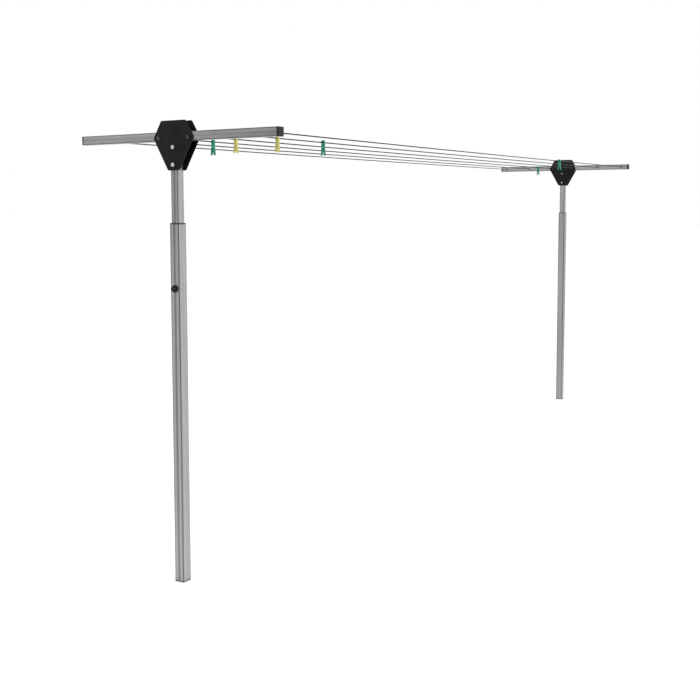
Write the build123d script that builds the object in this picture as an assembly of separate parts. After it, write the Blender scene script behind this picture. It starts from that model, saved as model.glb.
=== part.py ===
from build123d import *

import os
from math import cos, radians, sin

# A clothesline of two telescopic T posts with six lines between their crossbars.
# Millimetres. +X runs along the crossbars, +Y from the front post to the rear one, +Z up.
# The origin is on the ground, midway between the posts. The front post is built about its own
# axis with its outer side towards -Y, and the rear post is its mirror image.

# Overall sizes
SPAN = 5000.0  # between the axes of the two posts
POST_HEIGHT = 1598.0  # ground to the top of the collar
HEAD_RISE = 374.0  # top of the collar to the middle of the crossbar
MAST_OVERLAP = 620.0  # length of mast inside the ground post

# Lines
LINE_COUNT = 6
LINE_PITCH = 198.0
LINE_DIAMETER = 5.5
LINE_TAIL = 2.0  # end of the line that stands out of its stop

# Square tube of the mast and the crossbar
BAR_WIDTH = 40.0
BAR_WALL = 2.0
BAR_CORNER = 3.5
BAR_OVERHANG = 45.0  # outermost line to the end of the crossbar

# Square tube of the ground post, wide enough for the collar round the mast
POST_WALL = 3.0
POST_CORNER = 5.0
COLLAR_WALL = 2.5
COLLAR_DEPTH = 60.0
COLLAR_FLANGE = 5.0
COLLAR_CHAMFER = 1.0

# Caps and plugs
CAP_THICKNESS = 4.0
CAP_EDGE = 1.2
BAR_CAP_THICKNESS = 9.0
PLUG_DEPTH = 28.0
PLUG_WALL = 2.5
BUSH_THICKNESS = 14.0

# Head plates
PLATE_THICKNESS = 4.0
PLATE_CORNER = 10.0
PLATE_EDGE = 0.8
PLATE_TOP_RISE = 69.0  # above the middle of the crossbar
PLATE_SHOULDER = 44.0  # of the top corners, in from the wide corners
PLATE_SIDE_DROP = 6.0  # of the wide corners, below the middle of the crossbar
PLATE_LINE_LAP = 13.0  # of the wide corners, past the inner pair of lines
PLATE_FOOT_DROP = 146.0
PLATE_FOOT_HALF = 32.0

# Bolts: (thread diameter, across flats or head diameter, head height, nut height)
MAST_BOLT = (10.0, 17.0, 6.4, 8.4)
BAR_BOLT = (8.0, 17.0, 4.5, 6.8)
BAR_NUT_FLATS = 13.0
BAR_BOLT_DOME = 3.2  # round edge of its head
BOLT_TIP = 3.0  # thread that stands out of the nut
MAST_BOLT_DROPS = (46.0, 122.0)  # below the middle of the crossbar
BAR_BOLT_INSET = 30.0  # from the wide corner of the plate
BAR_BOLT_DROP = 6.0  # below the middle of the crossbar

# Clamp screw: a knob with a shank that pushes a brake pad on to the mast
CLAMP_DROP = 286.0  # below the top of the collar
CLAMP_DIAMETER = 10.0
INSERT_DIAMETER = 13.0
INSERT_FLANGE = (20.0, 1.5)  # diameter and thickness
INSERT_LIP = 0.5  # inside the post
KNOB_SKIRT = (32.0, 4.5)  # diameter and thickness
KNOB_GRIP = (24.0, 16.0)  # diameters at its foot and its tip
KNOB_HEIGHT = 18.0
KNOB_FLUTES = 8
KNOB_FLUTE = 2.4  # radius of the hollows in the grip
KNOB_EDGE = 1.5
KNOB_STANDOFF = 0.5  # from the insert
PAD_DIAMETER = 9.0
PAD_THICKNESS = 3.0
SPIGOT_DIAMETER = 4.0
SPIGOT_LENGTH = 1.6

# Grommets and end stops of the lines
GROMMET_WALL = 1.2
GROMMET_RIM = 1.5
GROMMET_FLANGE = 1.5
GROMMET_LIP = 0.5
STOP_WALL = 3.0
STOP_LENGTH = 14.0

# Pegs, measured from the line that they hang on
PEG_RISE = 9.0
PEG_DROP = 63.0
PEG_WIDTH = 12.0
PEG_PIVOT_DROP = 24.0
PEG_COIL = 5.2  # outer diameter of the spring's coil
PEG_WIRE = 1.2
PEG_JAW = (1.8, 6.4)  # inner and outer face of one half at the tip of its jaw
PEG_BODY = (7.4, 7.0, 7.6)  # outer face at the line, above the pivot and below it
PEG_HANDLE = (7.6, 11.4)  # inner and outer face at the end of the handle
PEG_GRIPS = (0.4, 0.55, 0.7, 0.85)  # places of the grip grooves, as shares of the handle
PEG_GROOVE = 0.9  # radius
# (line counted from +X, "front" or "rear", distance along the line from that post's axis)
PEGS = (
    (4, "front", 378.0),
    (3, "front", 293.0),
    (2, "front", 337.0),
    (2, "front", 719.0),
    (4, "rear", 331.0),
    (1, "rear", 1518.0),
)

# Lengths that pieces of one solid share, so that they join, and that cuts run past a face
LAP = 1.0

# Clearances
SLIDE_GAP = 0.4  # mast in its collar, bush in the ground post
PLUG_GAP = 0.1  # plugs pushed into tubes
BOLT_GAP = 0.3  # round bolts and screws, in radius
RUNNING_GAP = 0.05  # round the spigot of the clamp screw, in radius
LINE_GAP = 0.3  # round the lines, in radius
STOP_GAP = 0.2
PAD_GAP = 0.3  # brake pad to mast
PEG_GAP = 0.3  # between the two halves of a peg, and round its spring

# Worked out from the sizes above
POST_WIDTH = BAR_WIDTH + 2 * (SLIDE_GAP + COLLAR_WALL + PLUG_GAP + POST_WALL)
POST_BORE = POST_WIDTH - 2 * POST_WALL
BAR_BORE = BAR_WIDTH - 2 * BAR_WALL
BAR_HEIGHT = POST_HEIGHT + HEAD_RISE
BAR_LENGTH = (LINE_COUNT - 1) * LINE_PITCH + 2 * BAR_OVERHANG
MAST_BOTTOM = POST_HEIGHT - MAST_OVERLAP
MAST_TOP = BAR_HEIGHT - BAR_WIDTH / 2
CLAMP_HEIGHT = POST_HEIGHT - CLAMP_DROP
PLATE_SIDE_HALF = LINE_PITCH / 2 + PLATE_LINE_LAP
PLATE_TOP_HALF = PLATE_SIDE_HALF - PLATE_SHOULDER
BAR_BOLT_X = PLATE_SIDE_HALF - BAR_BOLT_INSET
BAR_BOLT_HEIGHT = BAR_HEIGHT - BAR_BOLT_DROP
HEAD_FACE = BAR_WIDTH / 2 + PLATE_THICKNESS
LINE_RADIUS = LINE_DIAMETER / 2
LINE_BORE = LINE_RADIUS + LINE_GAP
GROMMET_RADIUS = LINE_BORE + GROMMET_WALL
STOP_FACE = BAR_BORE / 2 - GROMMET_LIP - STOP_GAP
LINE_END = STOP_FACE - STOP_LENGTH - LINE_TAIL
LINE_X = [((LINE_COUNT - 1) / 2 - i) * LINE_PITCH for i in range(LINE_COUNT)]


def square_bar(width, corner, length):
    """An upright bar of square section with round corners, standing on z = 0."""
    return extrude(RectangleRounded(width, width, corner), length)


def square_tube(width, wall, corner, length):
    bore = square_bar(width - 2 * wall, corner - wall, length)
    return square_bar(width, corner, length) - bore


def along_y(radius, start, end, x=0.0, z=0.0):
    """A round rod from y = start to y = end, start being the lower."""
    rod = extrude(Circle(radius), end - start)
    return Pos(x, start, z) * Rot(-90, 0, 0) * rod


def hexagon_along_y(flats, start, end, x=0.0, z=0.0):
    prism = extrude(RegularPolygon(flats / 2, 6, major_radius=False), end - start)
    return Pos(x, start, z) * Rot(-90, 0, 0) * prism


def edges_at(shape, axis, value):
    """The edges of a shape that lie in the plane where the axis has this value."""
    return shape.edges().filter_by_position(axis, value - 0.01, value + 0.01)


# Ground post


def ground_post():
    length = POST_HEIGHT - COLLAR_FLANGE - CAP_THICKNESS
    tube = Pos(0, 0, CAP_THICKNESS) * square_tube(POST_WIDTH, POST_WALL, POST_CORNER, length)
    wall = (-POST_WIDTH / 2 - LAP, -POST_BORE / 2 + LAP)
    return tube - along_y(INSERT_DIAMETER / 2 + PLUG_GAP, *wall, z=CLAMP_HEIGHT)


def foot_cap():
    floor = square_bar(POST_WIDTH, POST_CORNER, CAP_THICKNESS)
    width = POST_BORE - 2 * PLUG_GAP
    plug = square_tube(width, PLUG_WALL, POST_CORNER - POST_WALL + PLUG_WALL, PLUG_DEPTH)
    limit = square_bar(width, POST_CORNER - POST_WALL, PLUG_DEPTH)
    return floor + Pos(0, 0, CAP_THICKNESS) * (plug & limit)


def collar():
    flange = square_bar(POST_WIDTH, POST_CORNER, COLLAR_FLANGE)
    flange = chamfer(edges_at(flange, Axis.Z, COLLAR_FLANGE), COLLAR_CHAMFER)
    sleeve = square_bar(POST_BORE - 2 * PLUG_GAP, POST_CORNER - POST_WALL, COLLAR_DEPTH)
    body = Pos(0, 0, COLLAR_DEPTH) * flange + sleeve
    bore = square_bar(BAR_WIDTH + 2 * SLIDE_GAP, BAR_CORNER, COLLAR_DEPTH + COLLAR_FLANGE)
    return Pos(0, 0, POST_HEIGHT - COLLAR_FLANGE - COLLAR_DEPTH) * (body - bore)


def clamp_insert():
    """The threaded insert in the wall of the post that the clamp screw turns in."""
    face = -POST_WIDTH / 2
    flange_diameter, thickness = INSERT_FLANGE
    end = -POST_BORE / 2 + INSERT_LIP
    flange = along_y(flange_diameter / 2, face - thickness, face, z=CLAMP_HEIGHT)
    barrel = along_y(INSERT_DIAMETER / 2, face - thickness, end, z=CLAMP_HEIGHT)
    bore = along_y(CLAMP_DIAMETER / 2 + BOLT_GAP, face - thickness, end, z=CLAMP_HEIGHT)
    return flange + barrel - bore


# Clamp screw


def brake_pad():
    tip = -BAR_WIDTH / 2 - PAD_GAP
    pad = along_y(PAD_DIAMETER / 2, tip - PAD_THICKNESS, tip, z=CLAMP_HEIGHT)
    seat = along_y(
        SPIGOT_DIAMETER / 2 + RUNNING_GAP,
        tip - PAD_THICKNESS,
        tip - PAD_THICKNESS + SPIGOT_LENGTH + PAD_GAP,
        z=CLAMP_HEIGHT,
    )
    return pad - seat


def knob_head():
    """A tapered grip with flutes on a round skirt, standing on z = 0 with the skirt down."""
    skirt_diameter, thickness = KNOB_SKIRT
    foot, tip = (diameter / 2 for diameter in KNOB_GRIP)
    skirt = extrude(Circle(skirt_diameter / 2), thickness)
    skirt = fillet(edges_at(skirt, Axis.Z, thickness), KNOB_EDGE)
    outline = make_face(
        Polyline((0, 0), (foot, 0), (foot, thickness), (tip, KNOB_HEIGHT), (0, KNOB_HEIGHT), close=True)
    )
    grip = revolve(Plane.XZ * outline, Axis.Z)
    grip = fillet(edges_at(grip, Axis.Z, KNOB_HEIGHT), KNOB_EDGE)
    for i in range(KNOB_FLUTES):
        turn = radians(i * 360 / KNOB_FLUTES)
        flute = Pos(0, 0, thickness) * extrude(Circle(KNOB_FLUTE), KNOB_HEIGHT)
        grip -= Pos(foot * cos(turn), foot * sin(turn), 0) * flute
    return skirt + grip


def clamp_knob():
    neck_face = -POST_WIDTH / 2 - INSERT_FLANGE[1] - KNOB_STANDOFF
    pad_face = -BAR_WIDTH / 2 - PAD_GAP - PAD_THICKNESS
    head = Pos(0, neck_face, CLAMP_HEIGHT) * Rot(90, 0, 0) * knob_head()
    shank = along_y(CLAMP_DIAMETER / 2, neck_face - LAP, pad_face - RUNNING_GAP, z=CLAMP_HEIGHT)
    spigot_end = pad_face + SPIGOT_LENGTH
    spigot = along_y(SPIGOT_DIAMETER / 2, pad_face - LAP, spigot_end, z=CLAMP_HEIGHT)
    return head + shank + spigot


# Mast


def mast():
    tube = square_tube(BAR_WIDTH, BAR_WALL, BAR_CORNER, MAST_TOP - MAST_BOTTOM)
    tube = Pos(0, 0, MAST_BOTTOM) * tube
    for drop in MAST_BOLT_DROPS:
        tube -= bolt_hole(MAST_BOLT, 0, BAR_HEIGHT - drop)
    return tube


def mast_foot_bush():
    """The plug in the foot of the mast, whose flange slides in the ground post."""
    corner = POST_CORNER - POST_WALL
    flange = square_bar(POST_BORE - 2 * SLIDE_GAP, corner, BUSH_THICKNESS)
    plug = square_bar(BAR_BORE - 2 * PLUG_GAP, BAR_CORNER - BAR_WALL, PLUG_DEPTH)
    bore = square_bar(BAR_BORE - 2 * PLUG_WALL, BAR_CORNER - BAR_WALL, PLUG_DEPTH)
    return Pos(0, 0, MAST_BOTTOM - BUSH_THICKNESS) * (
        flange + Pos(0, 0, BUSH_THICKNESS) * (plug - bore)
    )


# Head


def bolt_hole(bolt, x, z):
    return along_y(bolt[0] / 2 + BOLT_GAP, -HEAD_FACE, HEAD_FACE, x, z)


def head_plate(outer):
    """A six-sided plate over the joint of mast and crossbar, on its outer or inner face.

    The inner one has a hole round each line that leaves the crossbar behind it.
    """
    right = [
        (PLATE_TOP_HALF, PLATE_TOP_RISE),
        (PLATE_SIDE_HALF, -PLATE_SIDE_DROP),
        (PLATE_FOOT_HALF, -PLATE_FOOT_DROP),
    ]
    left = [(-x, z) for x, z in reversed(right)]
    outline = make_face(Polyline(*right, *left, close=True))
    plate = extrude(Plane.XZ * outline, PLATE_THICKNESS)
    plate = fillet(plate.edges().filter_by(Axis.Y), PLATE_CORNER)
    face = -BAR_WIDTH / 2 if outer else HEAD_FACE
    shown = face - PLATE_THICKNESS if outer else face
    plate = Pos(0, face, BAR_HEIGHT) * plate
    plate = chamfer(edges_at(plate, Axis.Y, shown), PLATE_EDGE)
    for drop in MAST_BOLT_DROPS:
        plate -= bolt_hole(MAST_BOLT, 0, BAR_HEIGHT - drop)
    for x in (-BAR_BOLT_X, BAR_BOLT_X):
        plate -= bolt_hole(BAR_BOLT, x, BAR_BOLT_HEIGHT)
    if not outer:
        hole = GROMMET_RADIUS + GROMMET_RIM + PLUG_GAP * 2
        for x in LINE_X:
            plate -= along_y(hole, 0, HEAD_FACE + LAP, x, BAR_HEIGHT)
    return plate


def crossbar():
    tube = square_tube(BAR_WIDTH, BAR_WALL, BAR_CORNER, BAR_LENGTH)
    tube = Pos(-BAR_LENGTH / 2, 0, BAR_HEIGHT) * Rot(0, 90, 0) * tube
    for x in (-BAR_BOLT_X, BAR_BOLT_X):
        tube -= bolt_hole(BAR_BOLT, x, BAR_BOLT_HEIGHT)
    for x in LINE_X:
        tube -= along_y(GROMMET_RADIUS + PLUG_GAP, 0, BAR_WIDTH, x, BAR_HEIGHT)
    return tube


def end_cap(side):
    """The cap in one end of the crossbar: side is -1 for the end at -X and 1 for +X."""
    rim = square_bar(BAR_WIDTH, BAR_CORNER, BAR_CAP_THICKNESS)
    rim = fillet(edges_at(rim, Axis.Z, BAR_CAP_THICKNESS), CAP_EDGE)
    corner = BAR_CORNER - BAR_WALL
    plug = square_bar(BAR_BORE - 2 * PLUG_GAP, corner, PLUG_DEPTH)
    plug -= square_bar(BAR_BORE - 2 * PLUG_WALL, corner, PLUG_DEPTH)
    cap = rim + Pos(0, 0, -PLUG_DEPTH) * plug
    return Pos(side * BAR_LENGTH / 2, 0, BAR_HEIGHT) * Rot(0, side * 90, 0) * cap


def mast_bolt(drop):
    diameter, flats, head_height, nut_height = MAST_BOLT
    z = BAR_HEIGHT - drop
    head = hexagon_along_y(flats, -HEAD_FACE - head_height, -HEAD_FACE, z=z)
    shank = along_y(diameter / 2, -HEAD_FACE, HEAD_FACE + nut_height + BOLT_TIP, z=z)
    return head + shank


def bar_bolt(x):
    """A bolt with a low domed head."""
    diameter, width, head_height, nut_height = BAR_BOLT
    head = along_y(width / 2, -HEAD_FACE - head_height, -HEAD_FACE, x, BAR_BOLT_HEIGHT)
    head = fillet(edges_at(head, Axis.Y, -HEAD_FACE - head_height), BAR_BOLT_DOME)
    tip = HEAD_FACE + nut_height + BOLT_TIP
    return head + along_y(diameter / 2, -HEAD_FACE, tip, x, BAR_BOLT_HEIGHT)


def nut(bolt, flats, x, z):
    """A nut on the inner plate, with room for its bolt."""
    block = hexagon_along_y(flats, HEAD_FACE, HEAD_FACE + bolt[3], x, z)
    return block - along_y(bolt[0] / 2 + RUNNING_GAP, HEAD_FACE, HEAD_FACE + bolt[3], x, z)


def line_grommet(x):
    inner = BAR_BORE / 2 - GROMMET_LIP
    outer = BAR_WIDTH / 2
    neck = along_y(GROMMET_RADIUS, inner, outer, x, BAR_HEIGHT)
    flange = along_y(GROMMET_RADIUS + GROMMET_RIM, outer, outer + GROMMET_FLANGE, x, BAR_HEIGHT)
    flange = fillet(edges_at(flange, Axis.Y, outer + GROMMET_FLANGE), GROMMET_FLANGE / 2)
    return neck + flange - along_y(LINE_BORE, inner, outer + GROMMET_FLANGE, x, BAR_HEIGHT)


def line_stop(x):
    """The ferrule inside the crossbar that holds the end of a line."""
    end = STOP_FACE - STOP_LENGTH
    body = along_y(LINE_BORE + STOP_WALL, end, STOP_FACE, x, BAR_HEIGHT)
    return body - along_y(LINE_BORE, end, STOP_FACE, x, BAR_HEIGHT)


def post_assembly():
    """Every piece of one post, about its own axis, by name."""
    drops = [BAR_HEIGHT - drop for drop in MAST_BOLT_DROPS]
    sides = (-BAR_BOLT_X, BAR_BOLT_X)
    bar_nuts = [nut(BAR_BOLT, BAR_NUT_FLATS, x, BAR_BOLT_HEIGHT) for x in sides]
    return {
        "ground_post": ground_post(),
        "foot_cap": foot_cap(),
        "collar": collar(),
        "clamp_insert": clamp_insert(),
        "brake_pad": brake_pad(),
        "clamp_knob": clamp_knob(),
        "mast": mast(),
        "mast_foot_bush": mast_foot_bush(),
        "outer_head_plate": head_plate(outer=True),
        "inner_head_plate": head_plate(outer=False),
        "crossbar": crossbar(),
        "left_end_cap": end_cap(-1),
        "right_end_cap": end_cap(1),
        "mast_bolts": Compound(children=[mast_bolt(drop) for drop in MAST_BOLT_DROPS]),
        "mast_bolt_nuts": Compound(children=[nut(MAST_BOLT, MAST_BOLT[1], 0, z) for z in drops]),
        "bar_bolts": Compound(children=[bar_bolt(x) for x in sides]),
        "bar_bolt_nuts": Compound(children=bar_nuts),
        "line_grommets": Compound(children=[line_grommet(x) for x in LINE_X]),
        "line_stops": Compound(children=[line_stop(x) for x in LINE_X]),
    }


# Lines and pegs


def washing_line(x):
    reach = SPAN / 2 - LINE_END
    return along_y(LINE_RADIUS, -reach, reach, x, BAR_HEIGHT)


def peg_half():
    """The +X half of a peg on a line at the origin: jaw above, handle below."""
    gap = PEG_GAP / 2
    outline = [
        (gap, PEG_RISE * 0.6),
        (PEG_JAW[0], PEG_RISE),
        (PEG_JAW[1], PEG_RISE),
        (PEG_BODY[0], PEG_RISE * 0.3),
        (PEG_BODY[1], -PEG_PIVOT_DROP + PEG_COIL),
        (PEG_BODY[2], -PEG_PIVOT_DROP - PEG_COIL),
        (PEG_HANDLE[1], -PEG_DROP),
        (PEG_HANDLE[0], -PEG_DROP),
        (gap + PEG_GAP * 2.5, -PEG_PIVOT_DROP - PEG_COIL),
        (gap, -PEG_PIVOT_DROP),
    ]
    face = make_face(Polyline(*outline, close=True))
    half = extrude(Plane.XZ * face, PEG_WIDTH / 2, both=True)
    half -= along_y(LINE_BORE, -PEG_WIDTH, PEG_WIDTH)
    neck = -PEG_PIVOT_DROP - PEG_COIL
    for share in PEG_GRIPS:
        x = PEG_BODY[2] + share * (PEG_HANDLE[1] - PEG_BODY[2])
        z = neck - share * (PEG_DROP + neck)
        half -= along_y(PEG_GROOVE, -PEG_WIDTH, PEG_WIDTH, x, z)
    return half - along_y(PEG_COIL / 2 + PEG_GAP, -PEG_WIDTH, PEG_WIDTH, z=-PEG_PIVOT_DROP)


def peg_spring():
    """The coil of a peg's spring, in the seat between the halves."""
    reach = PEG_WIDTH / 2 + PEG_WIRE
    coil = along_y(PEG_COIL / 2, -reach, reach, z=-PEG_PIVOT_DROP)
    return coil - along_y(PEG_COIL / 2 - PEG_WIRE, -reach, reach, z=-PEG_PIVOT_DROP)


def peg_places():
    for line, end, distance in PEGS:
        y = -SPAN / 2 + distance if end == "front" else SPAN / 2 - distance
        yield Pos(LINE_X[line - 1], y, BAR_HEIGHT)


def clothesline():
    """Every piece in its place, by name."""
    parts = {}
    for name, piece in post_assembly().items():
        front = Pos(0, -SPAN / 2, 0) * piece
        parts["front_" + name] = front
        parts["rear_" + name] = mirror(front, about=Plane.XZ)
    for number, x in enumerate(LINE_X, 1):
        parts[f"line_{number}"] = washing_line(x)
    moving_half = peg_half()
    fixed_half = mirror(moving_half, about=Plane.YZ)
    springs = []
    for number, place in enumerate(peg_places(), 1):
        parts[f"peg_{number}_moving_half"] = place * moving_half
        parts[f"peg_{number}_fixed_half"] = place * fixed_half
        springs.append(place * peg_spring())
    parts["peg_springs"] = Compound(children=springs)
    return parts


os.makedirs("parts", exist_ok=True)
for node, shape in clothesline().items():
    export_step(shape, f"parts/{node}.step")
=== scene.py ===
from math import cos, pi, sin

import bmesh
import bpy
from mathutils import Matrix, Vector


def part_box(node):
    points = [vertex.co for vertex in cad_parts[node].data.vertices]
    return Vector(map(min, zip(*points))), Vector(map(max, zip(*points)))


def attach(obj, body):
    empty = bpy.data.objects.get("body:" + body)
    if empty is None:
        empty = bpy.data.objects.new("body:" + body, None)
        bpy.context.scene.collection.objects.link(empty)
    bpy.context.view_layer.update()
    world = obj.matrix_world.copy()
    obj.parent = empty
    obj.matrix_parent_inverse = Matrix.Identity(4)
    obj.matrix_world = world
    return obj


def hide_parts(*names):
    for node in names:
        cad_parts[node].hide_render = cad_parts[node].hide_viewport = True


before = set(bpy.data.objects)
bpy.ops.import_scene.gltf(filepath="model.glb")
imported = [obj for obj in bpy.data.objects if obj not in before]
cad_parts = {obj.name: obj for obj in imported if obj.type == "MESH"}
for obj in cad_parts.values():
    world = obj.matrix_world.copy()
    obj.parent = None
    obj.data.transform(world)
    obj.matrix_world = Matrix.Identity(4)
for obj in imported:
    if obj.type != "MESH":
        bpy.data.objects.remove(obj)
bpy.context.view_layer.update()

# A clothesline of two telescopic T posts. Metres, in the frame of the CAD: +X along the crossbars,
# +Y from the front post to the rear one, +Z up, with the origin on the ground between the posts.

scene = bpy.context.scene
SIDES = ("front", "rear")
LINES = range(1, 7)
PEG_COLOURS = {1: "green", 2: "yellow", 3: "yellow", 4: "green", 5: "green", 6: "green"}


# Camera: it stands to the right of the front post and looks along the lines from the outside

CAMERA_PLACE = (2.9086, -5.9288, 1.6791)
CAMERA_YAW = -0.567  # radians from +Y, positive towards +X
CAMERA_PITCH = -0.0813
CAMERA_ROLL = -0.0037
CAMERA_LENS = 52.427  # millimetres, on a sensor 36 mm wide
CAMERA_SHIFT = (0.045, -0.09)


def make_camera():
    data = bpy.data.cameras.new("camera")
    camera = bpy.data.objects.new("camera", data)
    scene.collection.objects.link(camera)
    data.sensor_width = 36
    data.lens = CAMERA_LENS
    data.shift_x, data.shift_y = CAMERA_SHIFT
    yaw, pitch, roll = CAMERA_YAW, CAMERA_PITCH, CAMERA_ROLL
    forward = Vector((sin(yaw) * cos(pitch), cos(yaw) * cos(pitch), sin(pitch)))
    level = forward.cross(Vector((0, 0, 1))).normalized()
    upright = level.cross(forward)
    right = level * cos(roll) + upright * sin(roll)
    up = upright * cos(roll) - level * sin(roll)
    turn = Matrix((right, up, -forward)).transposed().to_4x4()
    camera.matrix_world = Matrix.Translation(CAMERA_PLACE) @ turn
    scene.camera = camera


make_camera()
scene.view_settings.view_transform = "Standard"


# Washing lines: taut, with a slight sag between the crossbars.

SAG = 0.003


def washing_line(number):
    low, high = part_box(f"line_{number}")
    x, z = (low.x + high.x) / 2, (low.z + high.z) / 2
    diameter = high.x - low.x
    route = [(x, low.y, z), (x, (low.y + high.y) / 2, z - 2 * SAG), (x, high.y, z)]
    curve = bpy.data.curves.new(f"washing_line_{number}", "CURVE")
    curve.dimensions = "3D"
    spline = curve.splines.new("NURBS")
    spline.points.add(len(route) - 1)
    for point, place in zip(spline.points, route):
        point.co = (*place, 1)
        point.radius = diameter / 2
    spline.order_u = 3
    spline.use_endpoint_u = True
    spline.resolution_u = 32
    curve.bevel_depth = 1.0
    curve.bevel_resolution = 6
    curve.use_fill_caps = True
    line = bpy.data.objects.new(f"washing_line_{number}", curve)
    scene.collection.objects.link(line)
    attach(line, "front_head")
    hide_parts(f"line_{number}")
    return line


line_pieces = [washing_line(number) for number in LINES]


# Springs of the pegs: wound wire in place of the CAD's plain sleeves

WIRE_RADIUS = 0.0006
COIL_RADIUS = 0.0026  # to the outside of the wire
COIL_TURNS = 7
COIL_STEPS = 16  # points in one turn
COIL_DROP = 0.033  # from the top of a peg to its spring
GRIP_GAP = 0.00015  # from the fixed half of a peg to its middle


def peg_coils():
    curve = bpy.data.curves.new("peg_coils", "CURVE")
    curve.dimensions = "3D"
    for number in PEG_COLOURS:
        low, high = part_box(f"peg_{number}_fixed_half")
        y = (low.y + high.y) / 2
        x, z = high.x + GRIP_GAP, high.z - COIL_DROP
        reach = (high.y - low.y) / 2 + WIRE_RADIUS
        spline = curve.splines.new("POLY")
        count = COIL_TURNS * COIL_STEPS
        spline.points.add(count)
        across = COIL_RADIUS - WIRE_RADIUS
        for i, point in enumerate(spline.points):
            turn = 2 * pi * i / COIL_STEPS
            point.co = (x + across * cos(turn), y - reach + 2 * reach * i / count, z + across * sin(turn), 1)
            point.radius = WIRE_RADIUS
    curve.bevel_depth = 1.0
    curve.bevel_resolution = 3
    curve.use_fill_caps = True
    coils = bpy.data.objects.new("peg_coils", curve)
    scene.collection.objects.link(coils)
    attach(coils, "front_head")
    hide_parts("peg_springs")
    return coils


coils = peg_coils()


# Materials


class Shader:
    """A Principled material and short calls for the nodes that drive it."""

    def __init__(self, name, **constants):
        self.material = bpy.data.materials.new(name)
        self.material.use_nodes = True
        self.nodes = self.material.node_tree.nodes
        self.links = self.material.node_tree.links
        self.bsdf = self.nodes["Principled BSDF"]
        for socket, value in constants.items():
            self.bsdf.inputs[socket.replace("_", " ")].default_value = value
        self.place = self.nodes.new("ShaderNodeTexCoord").outputs["Object"]

    def scaled(self, scale):
        node = self.nodes.new("ShaderNodeMapping")
        node.inputs["Scale"].default_value = scale
        self.links.new(self.place, node.inputs["Vector"])
        return node.outputs["Vector"]

    def noise(self, scale, detail=4.0, roughness=0.5, stretch=(1, 1, 1), warp=0.0):
        node = self.nodes.new("ShaderNodeTexNoise")
        node.inputs["Scale"].default_value = scale
        node.inputs["Detail"].default_value = detail
        node.inputs["Roughness"].default_value = roughness
        node.inputs["Distortion"].default_value = warp
        self.links.new(self.scaled(stretch), node.inputs["Vector"])
        return node.outputs["Fac"]

    def cells(self, scale, stretch=(1, 1, 1)):
        node = self.nodes.new("ShaderNodeTexVoronoi")
        node.inputs["Scale"].default_value = scale
        self.links.new(self.scaled(stretch), node.inputs["Vector"])
        return node.outputs["Color"]

    def bands(self, scale, stretch=(1, 1, 1), warp=0.0):
        node = self.nodes.new("ShaderNodeTexWave")
        node.inputs["Scale"].default_value = scale
        node.inputs["Distortion"].default_value = warp
        self.links.new(self.scaled(stretch), node.inputs["Vector"])
        return node.outputs["Fac"]

    def offset(self, axis, middle=0.0):
        """Distance from a plane across an axis."""
        split = self.nodes.new("ShaderNodeSeparateXYZ")
        self.links.new(self.place, split.inputs["Vector"])
        shifted = self.nodes.new("ShaderNodeMath")
        shifted.operation = "SUBTRACT"
        shifted.inputs[1].default_value = middle
        self.links.new(split.outputs[axis], shifted.inputs[0])
        size = self.nodes.new("ShaderNodeMath")
        size.operation = "ABSOLUTE"
        self.links.new(shifted.outputs["Value"], size.inputs[0])
        return size.outputs["Value"]

    def grey(self, colour):
        node = self.nodes.new("ShaderNodeRGBToBW")
        self.links.new(colour, node.inputs["Color"])
        return node.outputs["Val"]

    def ramp(self, value, *stops):
        """Stops are (position, (r, g, b)) pairs."""
        node = self.nodes.new("ShaderNodeValToRGB")
        ramp = node.color_ramp
        while len(ramp.elements) < len(stops):
            ramp.elements.new(0.5)
        for element, (position, colour) in zip(ramp.elements, stops):
            element.position = position
            element.color = (*colour, 1)
        self.links.new(value, node.inputs["Fac"])
        return node.outputs["Color"]

    def span(self, value, low, high, start=0.0, end=1.0):
        """value from start to end, mapped to low to high."""
        node = self.nodes.new("ShaderNodeMapRange")
        for socket, number in zip(("From Min", "From Max", "To Min", "To Max"), (start, end, low, high)):
            node.inputs[socket].default_value = number
        self.links.new(value, node.inputs["Value"])
        return node.outputs["Result"]

    def blend(self, kind, factor, first, second):
        node = self.nodes.new("ShaderNodeMix")
        node.data_type = "RGBA"
        node.blend_type = kind
        if isinstance(factor, float):
            node.inputs["Factor"].default_value = factor
        else:
            self.links.new(factor, node.inputs["Factor"])
        for socket, colour in ((6, first), (7, second)):
            if isinstance(colour, tuple):
                node.inputs[socket].default_value = (*colour, 1)
            else:
                self.links.new(colour, node.inputs[socket])
        return node.outputs[2]

    def bump(self, *layers):
        """Layers are (height, strength, depth in metres)."""
        normal = None
        for height, strength, depth in layers:
            node = self.nodes.new("ShaderNodeBump")
            node.inputs["Strength"].default_value = strength
            node.inputs["Distance"].default_value = depth
            self.links.new(height, node.inputs["Height"])
            if normal:
                self.links.new(normal, node.inputs["Normal"])
            normal = node.outputs["Normal"]
        self.links.new(normal, self.bsdf.inputs["Normal"])

    def drive(self, socket, value):
        self.links.new(value, self.bsdf.inputs[socket])


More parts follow.
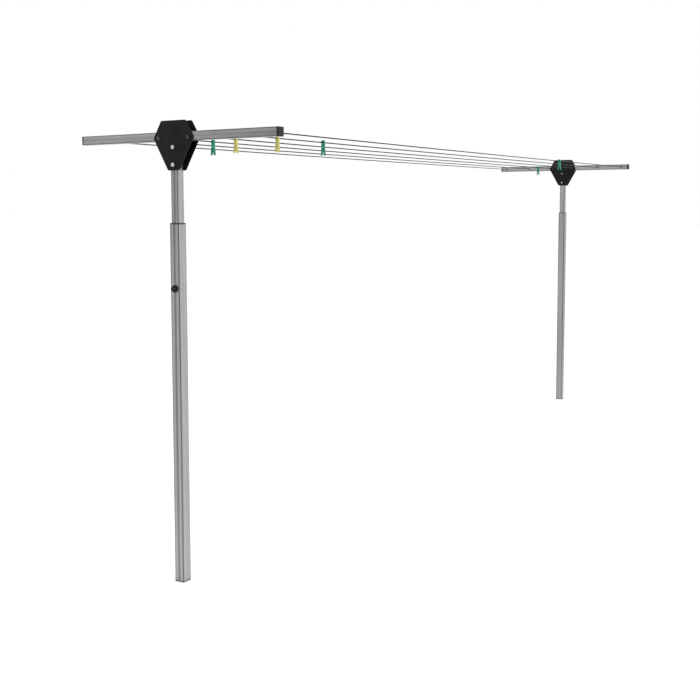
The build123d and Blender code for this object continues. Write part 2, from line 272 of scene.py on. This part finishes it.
def galvanised(name, node, axis, across, corner_shade_tone, seam):
    """Zinc-coated tube: rolling streaks along the axis, soft clouds, faint spangle, painted shade along the
    corners.

    corner_shade_tone is the tone of the painted shade just inside the corners that the across axis ends in.
    seam is the tone of the weld seam down the middle of the outer face.
    """
    shader = Shader(name, Metallic=1.0)
    low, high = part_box(node)
    streak = [90.0, 90.0, 90.0]
    streak["XYZ".index(axis)] = 1.6
    clouds = [9.0, 9.0, 9.0]
    clouds["XYZ".index(axis)] = 1.2
    fine = shader.noise(1.0, detail=6.0, roughness=0.65, stretch=tuple(streak))
    broad = shader.noise(1.0, detail=3.0, stretch=tuple(clouds))
    spangle = shader.grey(shader.cells(140.0))
    base = shader.ramp(fine, (0.25, (0.32, 0.32, 0.32)), (0.75, (0.46, 0.46, 0.455)))
    tone = shader.ramp(broad, (0.3, (0.72, 0.72, 0.73)), (0.7, (1.0, 1.0, 1.0)))
    base = shader.blend("MULTIPLY", 0.7, base, tone)
    base = shader.blend("OVERLAY", 0.08, base, shader.ramp(spangle, (0, (0, 0, 0)), (1, (1, 1, 1))))
    middle = (getattr(low, across) + getattr(high, across)) / 2
    half = (getattr(high, across) - getattr(low, across)) / 2
    place = shader.span(shader.offset(across.upper(), middle), 0.0, 1.0, 0.0, half)
    # Painted shade: a darker band just inside the rounded corners of the tube, back to full tone at the very
    # edge.
    white, dark = (1.0, 1.0, 1.0), (corner_shade_tone, corner_shade_tone, corner_shade_tone)
    painted_corner_shade = shader.ramp(place, (0.68, white), (0.84, dark), (0.96, dark), (0.995, white))
    base = shader.blend("MULTIPLY", 1.0, base, painted_corner_shade)
    weld = shader.ramp(place, (0.0, (seam, seam, seam)), (0.1, (seam, seam, seam)), (0.34, white))
    centre, width = abs(low.y + high.y) / 2, high.y - low.y
    outer = shader.span(shader.offset("Y"), 0.0, 1.0, centre, centre + width)
    outer = shader.ramp(outer, (0.2, (0, 0, 0)), (0.4, (1, 1, 1)))
    base = shader.blend("MULTIPLY", outer, base, weld)
    shader.drive("Base Color", base)
    shader.drive("Roughness", shader.span(fine, 0.30, 0.50, 0.2, 0.8))
    shader.bump((fine, 0.25, 0.0004), (spangle, 0.05, 0.0003))
    return shader.material


def powder_coat(name, dark, light, rough=(0.38, 0.55), shine=0.16):
    """Black coat with orange peel and a faint dusting."""
    shader = Shader(name, Metallic=0.0, Specular_IOR_Level=shine)
    dust = shader.noise(14.0, detail=5.0, roughness=0.6)
    peel = shader.noise(700.0, detail=2.0)
    shader.drive("Base Color", shader.ramp(dust, (0.35, dark), (0.75, light)))
    shader.drive("Roughness", shader.span(dust, *rough, 0.3, 0.7))
    shader.bump((peel, 0.35, 0.0005))
    return shader.material


def zinc_plate():
    shader = Shader("zinc_plate", Metallic=1.0)
    cloud = shader.noise(120.0, detail=4.0)
    shader.drive("Base Color", shader.ramp(cloud, (0.3, (0.62, 0.62, 0.60)), (0.7, (0.86, 0.87, 0.88))))
    shader.drive("Roughness", shader.span(cloud, 0.18, 0.38, 0.3, 0.7))
    shader.bump((shader.noise(900.0, detail=2.0), 0.2, 0.0002))
    return shader.material


def moulded(name, dark, light, rough=(0.42, 0.60), grain=0.3, shine=0.3):
    """Moulded plastic: matt grain and slight flow marks."""
    shader = Shader(name, IOR=1.48, Specular_IOR_Level=shine)
    flow = shader.noise(45.0, detail=3.0, stretch=(1, 1, 0.3), warp=0.8)
    shader.drive("Base Color", shader.ramp(flow, (0.3, dark), (0.7, light)))
    shader.drive("Roughness", shader.span(flow, *rough, 0.3, 0.7))
    shader.bump((shader.noise(1400.0, detail=2.0), grain, 0.0003))
    return shader.material


def coated_cord():
    """Dark grey coated line, whose twisted core shows through as slanting ribs."""
    shader = Shader("coated_cord", IOR=1.5, Specular_IOR_Level=0.2)
    ribs = shader.bands(90.0, stretch=(1.5, 1.0, 1.5), warp=0.4)
    grime = shader.noise(8.0, detail=5.0, stretch=(1, 1, 1))
    tone = shader.ramp(grime, (0.3, (0.006, 0.006, 0.006)), (0.7, (0.016, 0.016, 0.016)))
    base = shader.blend("MULTIPLY", 0.35, tone, shader.ramp(ribs, (0.0, (0.6, 0.6, 0.6)), (1.0, (1, 1, 1))))
    shader.drive("Base Color", base)
    shader.drive("Roughness", shader.span(grime, 0.45, 0.62))
    shader.bump((ribs, 0.5, 0.0006))
    return shader.material


PLASTIC = moulded("black_plastic", (0.004, 0.004, 0.004), (0.010, 0.010, 0.010))
COAT = powder_coat("black_coat", (0.002, 0.002, 0.002), (0.006, 0.006, 0.006))
BLACK_STEEL = powder_coat("black_steel", (0.004, 0.004, 0.004), (0.010, 0.010, 0.010), (0.12, 0.22), 1.0)
ZINC = zinc_plate()
CORD = coated_cord()
STEEL = {
    "ground_post": galvanised("galvanised_post", "front_ground_post", "Z", "x", 0.40, 0.52),
    "mast": galvanised("galvanised_mast", "front_mast", "Z", "x", 0.42, 0.52),
    "crossbar": galvanised("galvanised_crossbar", "front_crossbar", "X", "z", 0.35, 0.8),
}
PEG = {
    "green": moulded("green_plastic", (0.0, 0.17, 0.105), (0.005, 0.24, 0.15), (0.30, 0.42), 0.12),
    "yellow": moulded("yellow_plastic", (0.46, 0.43, 0.10), (0.55, 0.52, 0.16), (0.30, 0.42), 0.12),
}
NODE_MATERIALS = {
    **STEEL,
    "foot_cap": PLASTIC,
    "collar": PLASTIC,
    "clamp_insert": ZINC,
    "brake_pad": PLASTIC,
    "clamp_knob": PLASTIC,
    "mast_foot_bush": PLASTIC,
    "outer_head_plate": COAT,
    "inner_head_plate": COAT,
    "left_end_cap": PLASTIC,
    "right_end_cap": PLASTIC,
    "mast_bolts": ZINC,
    "mast_bolt_nuts": BLACK_STEEL,
    "bar_bolts": BLACK_STEEL,
    "bar_bolt_nuts": BLACK_STEEL,
    "line_grommets": PLASTIC,
    "line_stops": ZINC,
}


def paint(piece, material):
    piece.data.materials.clear()
    piece.data.materials.append(material)


for side in SIDES:
    for node, material in NODE_MATERIALS.items():
        paint(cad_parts[f"{side}_{node}"], material)
for line in line_pieces:
    paint(line, CORD)
for number, colour in PEG_COLOURS.items():
    paint(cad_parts[f"peg_{number}_fixed_half"], PEG[colour])
    paint(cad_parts[f"peg_{number}_moving_half"], PEG[colour])
paint(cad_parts["peg_springs"], ZINC)
paint(coils, ZINC)


# Floor and light

FLOOR_HALF = 60
FLOOR_GLOW = 0.28
WORLD_DIM = (0.15, 0.45)  # place on the ramp from -Y to +Y, and brightness
WORLD_WHITE = (0.6, 1.0)


def make_floor():
    mesh = bpy.data.meshes.new("floor")
    shape = bmesh.new()
    bmesh.ops.create_grid(shape, x_segments=1, y_segments=1, size=FLOOR_HALF)
    shape.to_mesh(mesh)
    shape.free()
    floor = bpy.data.objects.new("floor", mesh)
    scene.collection.objects.link(floor)
    shader = Shader("pale_floor")
    grain = shader.noise(3.0, detail=3.0)
    shader.drive("Base Color", shader.ramp(grain, (0.3, (0.90, 0.90, 0.90)), (0.7, (0.92, 0.92, 0.92))))
    shader.bsdf.inputs["Roughness"].default_value = 0.9
    shader.bsdf.inputs["Emission Color"].default_value = (1, 1, 1, 1)
    shader.bsdf.inputs["Emission Strength"].default_value = FLOOR_GLOW
    mesh.materials.append(shader.material)


def make_world():
    """A white studio that is dimmer behind the camera than beyond the clothesline."""
    world = bpy.data.worlds.new("studio")
    scene.world = world
    world.use_nodes = True
    nodes, links = world.node_tree.nodes, world.node_tree.links
    direction = nodes.new("ShaderNodeTexCoord").outputs["Generated"]
    split = nodes.new("ShaderNodeSeparateXYZ")
    links.new(direction, split.inputs["Vector"])
    ramp = nodes.new("ShaderNodeValToRGB")
    shift = nodes.new("ShaderNodeMapRange")
    shift.inputs["From Min"].default_value = -1
    links.new(split.outputs["Y"], shift.inputs["Value"])
    links.new(shift.outputs["Result"], ramp.inputs["Fac"])
    for element, (position, brightness) in zip(ramp.color_ramp.elements, (WORLD_DIM, WORLD_WHITE)):
        element.position = position
        element.color = (brightness, brightness, brightness, 1)
    background = nodes["Background"]
    links.new(ramp.outputs["Color"], background.inputs["Color"])
    background.inputs["Strength"].default_value = 1.0


def make_softbox(name, place, target, size, power):
    data = bpy.data.lights.new(name, "AREA")
    data.size = size
    data.energy = power
    light = bpy.data.objects.new(name, data)
    light.location = place
    aim = Vector(target) - Vector(place)
    light.rotation_euler = aim.to_track_quat("-Z", "Y").to_euler()
    scene.collection.objects.link(light)


make_floor()
make_world()
make_softbox("key_light", (6, 1, 6), (0, 0, 1.2), 4, 260)
make_softbox("fill_light", (-5, -5, 5), (0, -1, 1.2), 4, 120)

bpy.context.view_layer.update()
